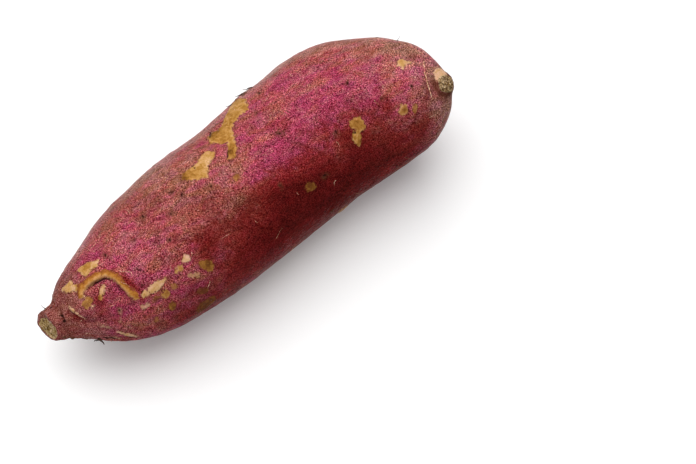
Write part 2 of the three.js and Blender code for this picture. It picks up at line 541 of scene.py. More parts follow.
# %% Name the scars and chips
# name: age from 0, fresh, to 1, old; how fully it covers the skin; and its shape. A shape is an
# outline of (along, round) corners, or for a round or narrow chip, a stroke of
# (along, round, half width in mm).
CHIPS = {
    "fork_scar": (0.54, 1.0, [
        (115, -43), (114, -55), (111, -56), (100, -37), (97.5, -36), (95, -41), (92, -35), (91.5, -27),
        (94, -20), (96.5, -16), (92, -3), (95, -1), (98, -6), (100.5, -20), (104, -29), (110, -31),
        (112, -29),
    ]),
    "lower_scar": (0.46, 1.0, [
        (90, -17), (87.5, -22), (84, -21), (81, -16.5), (74, -17), (72.5, -13), (75, -8), (81.5, 0),
        (84, -9.5), (88, -12),
    ]),
    "small_dot": (0.75, 0.7, [(90.6, 13.5, 1.2)]),
    "neck_chip_1": (0.38, 1.0, [(21, -23), (22, -6), (25, -7), (28, -4), (29, -10), (25, -20)]),
    "neck_chip_2": (0.30, 1.0, [(12, -32), (17, -20), (17, -2), (15.5, -2), (13.5, -10)]),
    "welt_foot": (0.48, 1.0, [(17.4, -5, 0.3), (17.5, 3, 1.6), (17.4, 13, 1.1), (17.4, 20, 0.3)]),
    "neck_sliver": (0.12, 1.0, [(11.4, 15, 0.2), (11.8, 24, 0.5), (12.7, 38, 0.45), (14.2, 54, 0.15)]),
    "low_sliver": (0.16, 1.0, [(23, 85, 0.5), (26, 91, 1.1), (28.5, 96, 0.8)]),
    "neck_spot": (0.62, 0.8, [(17.1, 29.5, 1.8), (18.1, 28.5, 1.7)]),
    "under_welt": (0.30, 1.0, [(25.2, 20.5, 0.8), (23.8, 25, 1.1), (22.2, 31, 0.5)]),
    "neck_spot_edge": (0.06, 0.9, [(17.8, 37.2, 0.35), (19.1, 37.5, 0.35)]),
    "low_streak_1": (0.10, 0.5, [(18.2, 68.5, 0.5), (20.4, 74, 0.7)]),
    "low_streak_2": (0.12, 0.5, [(20.3, 97.8, 0.3), (22.8, 99, 0.6)]),
    "upright_streak": (0.10, 0.35, [(26.4, 51, 0.5), (25.8, 59, 0.5), (24.8, 68, 0.4)]),
    "pale_speck_1": (0.05, 0.4, [(116.6, -8, 0.5)]),
    "pale_speck_2": (0.05, 0.4, [(36, -19, 0.4)]),
    "front_chip": (0.20, 1.0, [(40.1, 48.6, 1.6), (43, 47.8, 1.6), (46.2, 46.4, 0.5)]),
    "front_foot": (0.36, 1.0, [(36.6, 48.8, 1.2), (37.6, 49.6, 1.2)]),
    "front_disc_1": (0.58, 0.9, [(43.8, 58, 1.65)]),
    "front_smear": (0.92, 0.5, [(39.1, 58.7, 1.0), (40.3, 57.8, 0.9)]),
    "front_disc_2": (0.60, 0.6, [(48.2, 56.2, 1.35)]),
    "front_disc_3": (0.84, 0.85, [(44.4, 70, 1.4), (44.4, 73, 1.4)]),
    "round_chip": (0.16, 1.0, [(56.8, 41.5, 1.65)]),
    "leaf_chip": (0.40, 0.9, [(51.6, 45.8, 1.1), (53.2, 45.2, 1.0)]),
    "pale_strip": (0.25, 0.6, [(55.4, 54.4, 0.8), (58.3, 57.9, 0.8)]),
    "olive_leaf": (0.80, 0.9, [(61.4, 51.5, 1.2), (63.4, 56, 2.1), (63.9, 59, 1.4)]),
    "olive_side_1": (1.00, 0.6, [(56.8, 71.3, 1.3), (58.5, 74.5, 1.4)]),
    "olive_side_2": (0.95, 0.7, [(56.4, 92, 3.35), (59.1, 90.5, 3.1)]),
    "pink_chip": (0.15, 0.7, [(34.6, 60, 1.3), (36, 60, 0.8)]),
    "low_chip": (0.70, 0.6, [(37.2, 76.5, 0.6), (37.1, 80, 0.6)]),
    "crown_chip": (0.26, 1.0, [(173, 4), (175.5, 1), (178, 8), (174.5, 10), (173, 13), (172, 8)]),
    "crown_dot_1": (0.46, 0.8, [(164.1, 44.8, 2.0)]),
    "crown_dot_2": (0.46, 0.6, [(168.3, 49.2, 1.1), (169.2, 46, 1.0)]),
    "side_chip": (0.58, 0.95, [
        (142, 34), (146, 34), (147, 38), (146.5, 44), (144.2, 44.5), (143, 46), (143, 49), (141, 54),
        (139.6, 49), (139.2, 45), (141, 43), (142.5, 42.5), (141, 38),
    ]),
    "low_spot": (0.86, 0.7, [(114.7, 55, 1.7), (116, 56.2, 1.6)]),
    "knob_flap": (0.06, 1.0, [(185.5, 22), (188.5, 25), (190, 33), (188.5, 36), (183.5, 36.5), (184, 29)]),
    # on the sides that face away
    "back_scar": (0.55, 1.0, [
        (58, -92), (63, -96), (66, -94), (70, -98), (74, -97), (72, -102), (69, -105), (69, -112), (67, -118),
        (66, -111), (65, -104), (61, -100),
    ]),
    "back_chip_1": (0.25, 1.0, [(127, -82), (131, -85), (134, -91), (136, -97), (133, -96), (130, -91)]),
    "back_chip_2": (0.60, 0.8, [(103, -118), (106, -117), (108, -122), (105, -126), (102, -123)]),
    "back_chip_3": (0.15, 1.0, [(40, -73), (44, -76), (45, -82), (42, -80)]),
    "back_chip_4": (0.80, 0.8, [(149, -124), (153, -126), (154, -131), (150, -132)]),
    "low_scar": (0.50, 1.0, [
        (92, 121), (97, 123), (102, 124), (108, 121), (112, 117), (109, 126), (104, 132), (99, 130),
        (95, 127),
    ]),
    "low_chip_1": (0.22, 1.0, [(126, 106), (130, 105), (133, 111), (130, 115), (127, 112)]),
    "belly_scar": (0.60, 0.9, [(80, 172), (88, 176), (96, 174), (103, 180), (98, 186), (89, 190), (83, 183)]),
    "belly_chip_1": (0.35, 1.0, [(138, 155), (142, 154), (145, 161), (141, 166), (138, 161)]),
    "belly_chip_2": (0.55, 0.8, [(49, -155), (52, -157), (53, -165), (50, -165)]),
}

# %% Measure the chips and raise them
# how much older, or fresher, the cork is than the rest of its plate; then its place and reach
AGE_MARKS = [
    (0.34, (95, -38), 3), (0.25, (94.5, -6), 3), (-0.14, (110, -42), 5), (-0.10, (100, -22), 3),
    (0.30, (74, -14), 4), (-0.16, (84, -14), 4), (0.20, (24.5, -14), 2.5), (-0.20, (28, -8), 2),
    (-0.15, (13, -32), 2), (0.18, (144.8, 39), 1.5), (0.35, (22, 31), 1.5), (0.38, (163.9, 45.6), 1.1),
    (0.40, (169.5, 44.8), 0.8), (0.40, (167.7, 50.3), 0.8),
]
CORK_THICKNESS = 0.22
fray = 0.45 * rough(2.2, 3, 2.2) + 0.40 * rough(1.0, 2, 6.4)
chip = np.full(len(POINTS), 9.0)
age = np.zeros(len(POINTS))
cover = np.ones(len(POINTS))
for years, share, shape in CHIPS.values():
    is_outline = len(shape[0]) == 2
    away = outline_distance(shape) if is_outline else stroke_distance(shape)
    nearer = away < chip
    age = np.where(nearer, years, age)
    cover = np.where(nearer, share, cover)
    chip = np.minimum(chip, away)
chip += fray
age = np.clip(age + brush(AGE_MARKS), 0, 1)
plate = eased(chip, 0.2, -0.3) + 0.5 * eased(chip, 0.0, -0.6) * rough(1.4, 2, 4.4)
height += cover * CORK_THICKNESS * plate
height -= cover * 0.14 * bell(chip - 0.45, 0.35)  # the skin is parted round the plate
print(f"{len(CHIPS)} chips cover {np.mean(chip < 0):.1%} of the knots")

# %% [markdown]
# ## The welt
#
# Near the tail, a cut healed into a cord of cork that stands up from the skin in an arch. Its
# outer side slopes down to the skin, and its inner side drops steeply into a groove.

# %% Raise the welt
# mm along, degrees round, half width in mm
WELT = [
    (16.5, 15, 1.2), (17.3, 10, 1.7), (18.5, 6, 1.8), (22, 3.5, 1.6), (26.5, 6, 1.5), (28.5, 9.5, 1.5),
    (31, 20, 1.4), (32, 35, 1.4), (33.5, 46, 1.4), (34, 49, 0.9),
]
WELT_HEIGHT = 0.55
WELT_MIDDLE = on_surface(FORM, 22, 30)[0]  # a place in the hollow of the arch
WELT_STEPS = 120  # points along the arch that its sides are told by

welt_line = stroke_distance([(along, around, 0) for along, around, _ in WELT])
welt_edge = stroke_distance(WELT)


def welt_side():
    """Across the welt, in mm: below 0 on the hollow's side, above 0 on the outer side."""
    marks = np.array([on_surface(FORM, along, around)[0] for along, around, _ in WELT])
    steps = np.linspace(0, len(marks) - 1, WELT_STEPS)
    marks = np.stack([np.interp(steps, np.arange(len(marks)), marks[:, n]) for n in range(3)], axis=1)
    gaps = np.linalg.norm(POINTS[:, None] - marks[None], axis=2)
    nearest = marks[gaps.argmin(1)]
    outward = nearest - WELT_MIDDLE
    outward /= np.linalg.norm(outward, axis=1)[:, None]
    return ((POINTS - nearest) * outward).sum(1)


side = welt_side()
half_width = np.maximum(welt_line - welt_edge, 0.5)
worn = fray + 0.5 * rough(3.5, 2, 5.1)
across = np.clip((welt_line + 0.7 * worn) / half_width, 0, 1.6)
lean = 1 - 0.70 * np.clip(side / half_width, -1, 1)  # it is highest near its inner side
height += WELT_HEIGHT * lean * (1 + 0.4 * rough(2.2, 3, 7.1)) * np.clip(1 - across**2, 0, 1) ** 0.4
near_welt = eased(welt_line, 5.0, 1.0) * eased(ALONG, 18, 22)
groove = near_welt * bell(side + 1.75 + 0.25 * fray, 0.5)
height -= 0.75 * groove
# painted shade: the skin just outside the welt's right arm is painted darker, as the welt's shadow
shade_beside_welt = eased(welt_line, 4.5, 1.5) * eased(side, 0.5, 2.0) * eased(ALONG, 27, 31)
welt_edge = welt_edge + 1.1 * worn
print(f"the welt covers {np.mean(welt_edge < 0):.2%} of the knots")

# %% [markdown]
# ## Hollows, folds, eyes and cracks
#
# Side roots left eyes behind: small slits or dimples in a brown spot, with a swollen lip. Roots of
# this kind carry them in loose rows. A few wider hollows and folds and some fine cracks finish the
# relief.

# %% Press in hollows and raise folds
# depth in mm, below 0 for a fold that stands up; then a stroke of (mm along, degrees round, half width in mm)
HOLLOWS = [
    (0.90, [(10.2, 30, 0.7), (11.5, 45, 1.1), (13.7, 58, 1.2), (16.4, 66, 0.7)]),
    (-0.40, [(11.4, 17, 0.3), (12.3, 28, 0.4), (13.0, 41, 0.4), (13.9, 53, 0.3)]),
    (0.40, [(30, 30, 1.2), (29.5, 42, 1.5)]),
    (0.45, [(35, 40, 1.4), (36, 28, 1.2), (34.5, 14, 0.8)]),
    (0.35, [(16, 58, 0.4), (19, 62, 0.8), (22, 70, 0.4)]),
    (-0.30, [(15, 66, 0.5), (20, 72, 0.7), (26, 80, 0.5)]),
    (0.30, [(10, 84, 0.5), (18, 92, 0.8), (28, 98, 0.5)]),
    (-0.35, [(16, 104, 0.6), (24, 106, 0.8), (32, 104, 0.5)]),
    (0.35, [(57, -48, 3.0), (66, -50, 2.0)]),
    (0.30, [(88, 42, 4.0), (98, 46, 3.0)]),
    (0.35, [(126, 10, 3.0), (132, 16, 2.0)]),
    (0.45, [(122, 56, 1.4), (124, 60, 1.2)]),
    (-0.30, [(148, -22, 1.0), (156, -20, 1.4), (163, -25, 0.8)]),
    (0.30, [(151, -28, 1.0), (158, -27, 1.4), (164, -32, 0.8)]),
    (0.35, [(179, 30, 1.2), (178, 44, 1.5), (179, 58, 1.0)]),
    (0.35, [(120, -100, 4.0), (132, -110, 3.0)]),
    (0.30, [(66, 140, 3.0), (80, 150, 2.5)]),
]
for depth, stroke in HOLLOWS:
    narrow = max(half for _, _, half in stroke)
    height -= depth * eased(stroke_distance(stroke), 0.6 + 0.5 * narrow, -0.6 * narrow)
print(len(HOLLOWS), "hollows and folds")

# %% Press in eyes and cracks
# mm along, degrees round, length in mm, how far the slit is turned from running round the root, in degrees
EYES = [
    (115, 8, 2.3, 50), (113.5, -20, 1.4, -20), (131, -43, 1.6, 10), (120.5, -37, 1.2, 0), (32, -8, 1.6, 15),
    (44, 3, 1.3, 30), (66.5, -11, 2.2, 60), (69, -3, 2.2, -35), (61, 5, 1.8, 40), (52, -10, 1.6, 0),
    (123, 57, 1.8, 60), (135, 35, 1.6, 0), (26, 53, 1.1, 0), (79.5, -15, 1.0, 0), (150, 8, 1.1, -15),
    (104, 40, 1.3, 25), (55, 22, 1.0, 0), (158, 30, 1.1, 0), (80, 7, 1.0, 30), (172, 30, 1.0, 0),
    (48, -62, 2.0, 10), (79, -70, 1.8, -10), (117, -66, 2.4, 15), (146, -60, 1.7, 0), (166, -76, 1.9, 20),
    (58, -128, 1.8, 5), (92, -136, 2.2, -10), (124, -140, 1.6, 10), (158, -146, 2.0, 0),
    (38, 112, 1.6, 0), (72, 118, 2.0, 10), (110, 124, 2.3, -5), (146, 120, 1.8, 15), (172, 110, 1.5, 0),
    (64, 168, 1.7, 0), (118, 170, 1.9, 5), (160, 176, 1.5, 0),
]
# each is a stroke of (mm along, degrees round, half width in mm)
CRACKS = [
    [(38.5, 24, 0.05), (39.5, 28, 0.25), (41, 33, 0.05)], [(7.2, 17, 0.1), (7.5, 22, 0.28)],
    [(7.6, 27, 0.22)], [(7.4, 34, 0.1), (7.2, 40, 0.3)], [(6.1, -44, 0.2), (6.1, -38, 0.3)],
    # this one is a painted shadow line under the welt's inner edge, drawn as a dark crack
    [(22, 12, 0.05), (23.4, 11.5, 0.2), (24.8, 12, 0.22), (26.8, 13, 0.1), (28.4, 17, 0.02)],
    [(17.5, 97, 0.1), (18.5, 99, 0.3), (20, 100, 0.1)],
    [(20, 98, 0.1), (21.5, 100, 0.3), (22.5, 101, 0.1)],
    [(24.5, 92, 0.05), (27, 98, 0.3), (28, 101, 0.05)],
    [(95, -41.5, 0.1), (94, -38, 0.3), (93, -34, 0.1)], [(97.5, -35, 0.3)], [(95.2, -43, 0.35)],
    [(140.6, 42.0, 0.1), (141.7, 43.2, 0.35)], [(144.4, 45.0, 0.25), (145.2, 46.0, 0.1)],
    [(92, -3, 0.1), (92.6, -0.5, 0.3), (94, 0.5, 0.1)],
    [(94.5, -10, 0.05), (93.4, -7, 0.12), (92.5, -5, 0.05)],
    [(136, -150, 0.1), (141, -146, 0.25), (146, -148, 0.1)],
    [(84, -128, 0.1), (89, -124, 0.25), (92, -125, 0.1)],
]
EYE_SPOT = 2.2  # mm from a slit that the brown spot reaches


def eye_stroke(along, around, length, turned):
    """A slit as a stroke: mostly round the root, as side roots leave them."""
    radius = np.linalg.norm(on_surface(FORM, along, around)[0] - core_at(along))
    lean = math.radians(turned)
    step_along = length / 2 * math.sin(lean)
    step_round = math.degrees(length / 2 * math.cos(lean) / radius)
    return [
        (along - step_along, around - step_round, 0.05), (along, around, 0.30),
        (along + step_along, around + step_round, 0.05),
    ]


slit = np.full(len(POINTS), 9.0)
spot = np.zeros(len(POINTS))
for mark in EYES:
    away = stroke_distance(eye_stroke(*mark))
    size = mark[2] / 2
    height += 0.22 * size * bell(away - 1.0, 0.7) - 0.60 * size * eased(away, 0.8, -0.1)
    slit = np.minimum(slit, away)
    spot = np.maximum(spot, eased(away + 1.4 * fray, EYE_SPOT * size, 0.0))
for stroke in CRACKS:
    away = stroke_distance(stroke)
    height -= 0.35 * eased(away, 0.5, -0.1)
    slit = np.minimum(slit, away)
print(len(EYES), "eyes,", len(CRACKS), "cracks")

# %% [markdown]
# ## The broken tail and the collar
#
# The tail snapped across its fibres. Its face is a shallow dish of stringy wood with dark gaps
# between the strands. The skin round it tore less evenly and stands up as a lip. Behind it the
# collar bulges, and a crumbled crease runs round where the neck begins.

# %% Break the tail
BREAK_MIDDLE = np.array([-94.9, -11.9, 29.3])
BREAK_FACING = np.array([-0.953, -0.133, 0.272])  # it leans, so the collar is shorter in front and on top
WOOD_MIDDLE = (-12.8, 28.0)  # the wood's middle, as (y, z), and its half width and half height
WOOD_WIDE, WOOD_HIGH = 6.2, 5.1
beyond_break = (POINTS - BREAK_MIDDLE) @ BREAK_FACING
snapped = eased(beyond_break + 0.25 * fray, -0.15, 0.20)
from_wood = np.hypot((POINTS[:, 1] - WOOD_MIDDLE[0]) / WOOD_WIDE, (POINTS[:, 2] - WOOD_MIDDLE[1]) / WOOD_HIGH)
tail_face = snapped * eased(from_wood + 0.06 * fray, 1.05, 0.97)
lip = snapped * eased(from_wood, 0.96, 1.10)


def strands_across(size, shift):
    """Cells that fill the face, like the ends of strands: 0 in a gap and 1 in the middle of a strand."""
    waver = 0.35 * np.stack([rough(2.4, 2, shift + n) for n in (0, 3, 6)], axis=1)
    spots = POINTS / size + waver
    spots[:, 0] = 0
    gaps = [noise.voronoi(Vector(spot))[0] for spot in spots[tail_face > 0]]
    cells = np.ones(len(POINTS))
    cells[tail_face > 0] = [eased(second - first, 0.0, 0.18) for first, second, *_ in gaps]
    return cells


wood = strands_across(2.3, 4.0) * (0.55 + 0.45 * strands_across(1.0, 7.5))
dish = 0.15 + 0.35 * eased(from_wood, 1.0, 0.3) + 0.35 * (1 - wood) - 0.30 * rough(1.5, 3, 2.9)
height -= tail_face * dish
height += lip * (0.35 + 0.20 * rough(2.0, 2, 4.7))
rim = bell(beyond_break + 0.6, 0.7) * eased(ALONG, 8, 6)
height += rim * (0.10 + 0.30 * rough(2.2, 2, 0.7))
crease = bell(ALONG - 7.2 - 0.8 * rough(5, 2, 1.1), 0.75) * eased(np.abs(ROUND - 20), 105, 60)
crumbled = np.clip(0.5 + 1.2 * rough(1.6, 2, 4.9), 0, 1)
height -= crease * (0.25 + 0.40 * crumbled)
height += 0.25 * bell(ALONG - 4.8, 1.3) * (1 + rough(4.0, 2, 8.8))
print(f"the broken face has {np.sum(tail_face > 0.5)} knots")

# %% [markdown]
# ## Crust on the skin
#
# Here and there soil and old cork stick to the skin as low, dark crumbs. Some of them break the
# outline of the root.

# %% Add crusts
CRUSTS = [
    (0.50, [(117, -52, 0.9), (118.5, -56, 0.7)]), (0.45, [(113.5, -57, 0.8)]),
    (0.60, [(120.5, -56, 1.0)]), (0.30, [(100.5, -44, 0.5), (98, -47, 0.5)]), (0.30, [(104, -50, 0.5)]),
    (0.35, [(70, -57, 0.6)]), (0.40, [(176, -44, 0.6)]), (0.35, [(152, -96, 1.2)]),
    (0.40, [(88, -112, 1.0)]), (0.40, [(34, 140, 1.0)]), (0.35, [(122, 92, 0.9)]),
    (0.45, [(12, 120, 0.9), (14, 126, 0.6)]), (0.50, [(8.6, 104, 0.6)]),
    (0.35, [(116, -59, 0.6), (119, -60, 0.5)]),
    (0.15, [(5.2, -58, 0.3), (3.6, -64, 0.7), (2.0, -80, 0.5)]), (0.25, [(1.2, -144, 0.4)]),
    (0.25, [(1.3, 152, 0.4)]), (0.35, [(5.0, 92, 0.4), (5.3, 98, 0.4)]),
    (0.40, [(6.8, 104, 0.5), (7.9, 109, 0.6)]),
]
crust = np.full(len(POINTS), 9.0)
for thickness, stroke in CRUSTS:
    away = stroke_distance(stroke) + 0.9 * fray
    height += thickness * eased(away, 0.5, -0.5) * (1 + 0.6 * rough(0.9, 2, 5.8))
    crust = np.minimum(crust, away)
print(len(CRUSTS), "crusts")

# %% Move the net and keep what the material needs
RELIEF_LIMIT = 3.0
height = np.clip(height, -RELIEF_LIMIT, RELIEF_LIMIT)
broken = POINTS - np.maximum(beyond_break, 0)[:, None] * BREAK_FACING
outwards = FACING + snapped[:, None] * (BREAK_FACING - FACING)
sculpted = broken + outwards * height[:, None]
sculpted[:, 2] = np.maximum(sculpted[:, 2], 0)
skin_mesh.vertices.foreach_set("co", (sculpted * MM).ravel())


def keep(name, values):
    """Stores one value per knot on the mesh, for the material to read."""
    skin_mesh.attributes.new(name, "FLOAT", "POINT").data.foreach_set("value", values.astype(np.float32))


print(f"the relief runs from {height.min():.2f} to {height.max():.2f} mm")

# %% [markdown]
# ## Where the skin is magenta or brown, and where shade and highlights are painted
#
# The red of the skin is strongest where it stayed clean and smooth. A brown film dulls it at the
# neck, round the crown and along the upper side. Low on the front side, beside the welt and round
# the knob, painted shade makes it deep and dark. Where the skin was rubbed dry it is dusty, and
# along the upper contour and the ridge that dust also carries a painted highlight. Wide soft brush
# marks say where. A pale bloom, partly dust and partly a painted rim highlight, lies in patches over
# the back, and dry fibres run along the neck. Painted shade also darkens the collar's crease, a ring
# round the knob's foot and the split at the top of the broken face.

# %% Tint the skin
# how strong, from -1, brown, to 1, magenta; then (mm along, degrees round), and how wide in mm
TINTS = [
    (0.7, (138, 22), 14), (0.9, (115, 28), 13), (0.8, (101, 22), 10), (0.6, (176, 18), 7),
    (0.7, (28, 42), 11), (0.5, (32, -17), 8), (0.3, (152, 17), 12), (0.4, (60, 30), 16),
    (0.5, (164, 50), 9), (0.5, (126, -20), 12), (-0.7, (73, 8), 14), (-0.5, (152, 60), 16),
    (-0.5, (86, 36), 12), (-0.5, (132, 45), 10), (-0.6, (56, -52), 14), (-0.6, (73, -40), 14),
    (-0.5, (92, -55), 12), (-0.6, (142, -50), 14), (-0.7, (163, -38), 14), (-0.6, (178, -20), 12),
    (-0.4, (105, 55), 14), (-0.4, (58, 35), 12), (-0.4, (174, 55), 10), (-0.4, (112, -8), 9),
    (-0.4, (50, -5), 9), (-0.4, (24, -17), 4), (-0.4, (84, -8), 9), (-0.4, (99, 5), 4),
    (0.5, (147, -14), 8), (0.4, (141, 17), 8), (0.3, (131, 20), 6), (0.5, (118, -22), 5),
    (0.4, (160, 34), 6), (-0.6, (181, 0), 6), (-0.5, (184, 60), 10), (-0.4, (104, 46), 8),
    (-0.4, (113, 58), 8), (-0.3, (144, 66), 10), (-0.3, (68, 30), 7), (0.3, (8, 60), 8),
    (0.6, (90, -110), 22), (0.5, (140, -120), 20), (-0.5, (50, -130), 22), (0.4, (60, 130), 22),
    (-0.4, (120, 130), 24), (0.5, (150, 150), 20), (-0.4, (90, 175), 20),
]
# how strong, below 0 for painted shade and above 0 for dust, which along the upper contour and the
# ridge is also a painted highlight; then (mm along, degrees round), and how wide in mm. Marks add up,
# and the sum is kept between -2 and 1.
SHADE_AND_DUST = [
    (-0.5, (78, 54), 16), (-0.5, (94, 54), 16), (-0.6, (112, 56), 16), (-0.6, (131, 58), 16),
    (-0.5, (150, 62), 15), (-0.4, (164, 72), 12), (-0.5, (120, 84), 16), (-0.6, (142, 88), 16),
    (-0.5, (160, 92), 12), (-0.5, (33, 33), 4), (-0.4, (14, 40), 4), (-0.9, (11.7, 45), 2.2),
    (-0.5, (14.0, 59), 2.2), (-0.2, (16.8, 66), 2), (-0.4, (56, -20), 10), (-0.4, (75, 30), 12),
    (-0.3, (135, 30), 10), (-0.4, (27, 28), 5), (0.4, (44, 4), 10), (0.5, (150, 19), 7),
    (0.5, (172, 24), 8), (0.4, (108, -5), 9), (0.3, (154, -20), 12), (0.5, (60, -40), 10),
    (0.6, (74, -48), 9), (0.6, (90, -50), 9), (0.6, (106, -50), 9), (0.5, (122, -50), 9),
    (0.9, (172, -38), 8), (0.5, (150, -54), 9), (0.8, (185, -16), 5), (-0.5, (118, 3), 5),
    (-0.5, (104, 47), 9), (-0.3, (60, 38), 10), (-0.5, (22, 34), 4), (-0.4, (46, 84), 8),
    (-0.25, (152, 28), 9), (0.3, (132, 4), 8), (0.3, (155, 8), 8), (0.3, (166, -12), 8),
    (0.5, (93, 12), 6), (0.3, (110, 22), 5), (-0.2, (104, -12), 6), (-0.2, (24, 8), 4),
    (-0.7, (107, 52), 10), (-0.3, (119, 58), 10), (-0.3, (138, 62), 10), (-0.4, (152, 80), 9),
    (-0.4, (44, 90), 9), (-0.2, (54, 76), 6), (0.2, (164, 55), 6), (0.3, (106, 33), 4),
    (0.3, (94, 16), 5), (-0.25, (121, 24), 7), (-0.3, (147, 24), 6), (-0.2, (160, 36), 5),
    (-0.25, (23, 10), 5), (-0.25, (20, 56), 5), (0.4, (29, 0), 3), (0.4, (16, 23), 3),
    (-0.4, (176, 42), 7), (-0.4, (172, 62), 8), (-0.3, (67, 42), 6), (-0.3, (118, 2), 5),
    (-0.3, (117, 64), 8), (-0.6, (98, 78), 13), (-0.5, (112, 86), 13), (-0.5, (130, 90), 13),
    (0.5, (62, -62), 8), (0.5, (76, -64), 8), (0.5, (90, -64), 8), (0.5, (104, -64), 8),
    (0.4, (120, -62), 8), (0.5, (136, -58), 9), (0.7, (152, -56), 9), (0.6, (164, -48), 8),
    (0.2, (40, -62), 8), (-0.6, (181, 0), 5), (-0.3, (96, 36), 6), (-0.2, (108, 52), 10),
    (-0.2, (144, 66), 10), (-0.2, (70, 33), 6), (-0.2, (81, 15), 6), (-0.25, (108, -20), 4),
    (-0.25, (164, 22), 5), (-0.5, (178, 34), 6), (-0.25, (153, 44), 6), (0.35, (81, -27), 4),
    (-0.35, (51, 40), 5), (0.6, (16, 21), 3), (0.4, (33, 12), 3), (-0.3, (86, 62), 10),
    (-0.25, (76, 68), 8), (-0.3, (126, 72), 9), (0.5, (13, 90), 7), (-0.3, (141, 17), 7),
    (-0.2, (131, 20), 6), (-0.4, (140, 46), 5), (-0.2, (134, 39), 5), (-0.2, (160, 35), 5),
    (-0.25, (42, 45), 5), (-0.2, (36, 36), 4), (-0.2, (32, -15), 5), (-0.2, (103, 24), 5),
    (-0.2, (67, 44), 5), (-0.3, (49, 20), 6), (-0.25, (36, -12), 6), (-0.25, (51, -14), 6),
    (-0.3, (171, 63), 6), (-0.25, (108, -14), 6), (0.3, (83, -1), 4), (0.25, (113, 43), 6),
    (0.15, (72, 28), 6), (0.2, (131, 52), 7), (0.3, (29, -2), 4), (0.2, (43, -15), 5),
    (-0.45, (20, 59), 4), (-0.25, (116, 33), 6), (-0.15, (127, 31), 6), (-0.2, (22, 35), 4),
    (-0.2, (68, 14), 5), (-0.3, (150, -6), 6), (-0.25, (54, 6), 6), (-0.5, (60, 92), 12),
    (-0.5, (74, 86), 13), (-0.5, (88, 82), 13),
]

from_knob = np.linalg.norm(POINTS - np.array(KNOB_TOP), axis=1)
tint = brush(TINTS) + 0.35 * rough(14, 3, 6.1) - 0.7 * eased(ALONG, 20, 8)
tint -= 1.3 * eased(from_knob + 3 * rough(8, 2, 1.9), 14, 7)
# painted shade and dust: below 0 is painted shade, also darker round the knob and beside the welt; above 0 is
# dust, partly a painted highlight
shade_and_dust = brush(SHADE_AND_DUST) + 0.30 * rough(10, 3, 3.9) - 0.5 * eased(from_knob, 10, 5) - 0.9 * shade_beside_welt

KNOB_FOOT = on_surface(FORM, 186.4, 43)[0]
knob_ring = bell(np.linalg.norm(POINTS - KNOB_FOOT, axis=1) + 0.6 * fray - 4.6, 1.3) * eased(chip, 0.0, 1.2)
split = snapped * bell(from_wood - 1.04, 0.06) * eased(POINTS[:, 1] - WOOD_MIDDLE[0], 2, -3)
# painted shade: darker in the crumbled crease of the collar, in a ring round the knob's foot and along the
# split at the top of the broken face
crease_shade = np.maximum(crease * crumbled * eased(ALONG, 1, 3), 1.4 * np.maximum(knob_ring, split))
# a pale patchy bloom over the back, partly dust and partly a painted rim highlight along the upper contour
bloom_and_rim_highlight = eased(ROUND + 6 * rough(9, 2, 3.3), -40, -58) * eased(ROUND + 20 * rough(20, 2, 5.9), -150, -60)
bloom_and_rim_highlight *= np.clip(0.60 + 0.7 * rough(12, 3, 8.8), 0, 1)
bloom_and_rim_highlight *= eased(ALONG, 14, 30) * eased(ALONG, 184, 168)  # it fades before both ends
fine_grain = 0.92 - 0.38 * eased(ALONG, 24, 9) + 0.42 * eased(ALONG, 165, 180)
fine_grain *= 1 - 0.3 * eased(shade_and_dust, -0.6, -1.8)

kept = {
    "chip_mm": chip, "chip_age": age, "chip_cover": cover, "welt_mm": welt_edge, "welt_side_mm": side,
    "groove": groove, "slit_mm": slit, "spot": spot, "crust_mm": crust, "tint": np.clip(tint, -1, 1),
    "shade_and_dust": np.clip(shade_and_dust, -2, 1), "tail_face": tail_face, "wood": wood, "grain": fine_grain,
    "crease": crease_shade, "neck": eased(ALONG, 26, 12), "bloom_and_rim_highlight": bloom_and_rim_highlight,
}
for name, values in kept.items():
    keep(name, values)
print(f"tint averages {tint.mean():.2f} and tone {shade_and_dust.mean():.2f}")

# %% [markdown]
# ## The skin's material
#
# The colour is laid up like paint: a wash from brown to magenta, with dust that is partly a painted
# highlight and a bloom that is partly a painted rim highlight, fine dark and pale specks over it, and
# painted shade low on the front side; then the cork of the patches and the welt, with painted shade
# in the groove under it and in the crease, and last painted shade in the slits of eyes and cracks,
# and the dark of crumbs. Each layer's edge is frayed by finer noise than the net can carry.


# %% Helpers for layering colours
def spread(tree, value, gain, shift=0.0):
    """Noise turned about its middle: (value - 0.5) * gain + shift."""
    made = maths(tree, "MULTIPLY_ADD", value, gain)
    made.node.inputs[2].default_value = shift - 0.5 * gain
    return made


def times(tree, first, second):
    return maths(tree, "MULTIPLY", first, second)


def plus(tree, first, second):
    return maths(tree, "ADD", first, second)


def threads(tree, place, size_mm, width):
    """Curly lines: 1 on the lines where noise crosses its middle, 0 between them."""
    crossing = maths(tree, "ABSOLUTE", spread(tree, grain(tree, place, size_mm, 2, 0.6, 0.8), 1.0))
    return ease(tree, crossing, width, 0.0)


print("layers ready")

# %% The grain group, for skin, cork and dry roots
GRAIN_MIDDLE = 0.58  # the noise here leaves a colour as it is; a little over half, as pale grains show more


